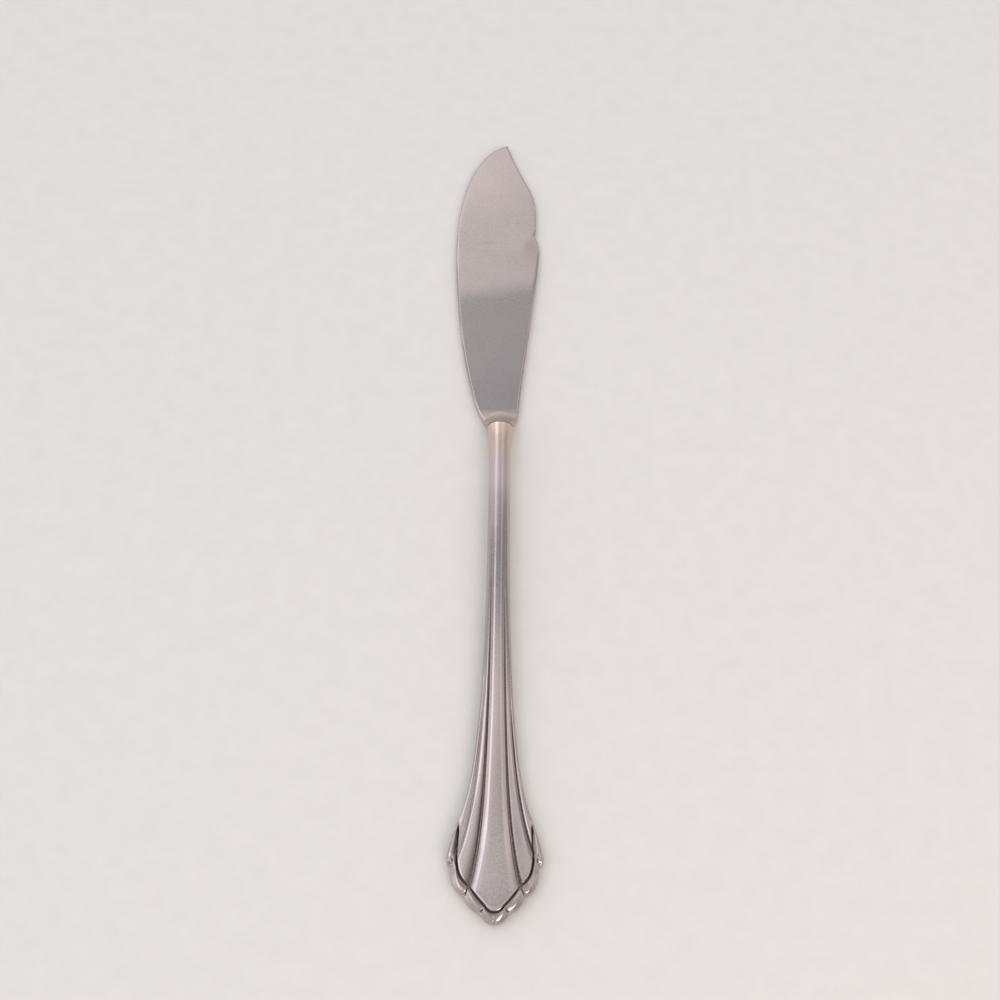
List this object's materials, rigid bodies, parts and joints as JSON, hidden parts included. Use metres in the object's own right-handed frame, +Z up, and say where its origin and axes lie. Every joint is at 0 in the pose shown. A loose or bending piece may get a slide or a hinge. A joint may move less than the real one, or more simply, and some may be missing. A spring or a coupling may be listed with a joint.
{
  "type": "butter knife",
  "caption": "Slim table butter knife: broad rounded blade with a notched clip point, set on a round neck, and a solid handle that flares into flutes, scrolls and a scalloped end.",
  "frame": {"origin": "on the table, below the middle of the knife's box, with the knife lying on its back", "axes": "+Y from the handle's scalloped end to the blade's tip, +X to the notched spine of the blade, +Z up out of the fluted face"},
  "size_m": [0.0188, 0.172, 0.0055],
  "materials": {
    "blade_steel": "satin, fine ground grain",
    "handle_steel": "polished, dark in the grooves",
    "braze": "tarnished silver solder"
  },
  "bodies": {
    "root": {"blade": "blade_steel", "handle": "handle_steel", "neck_braze": "braze"}
  },
  "joints": []
}
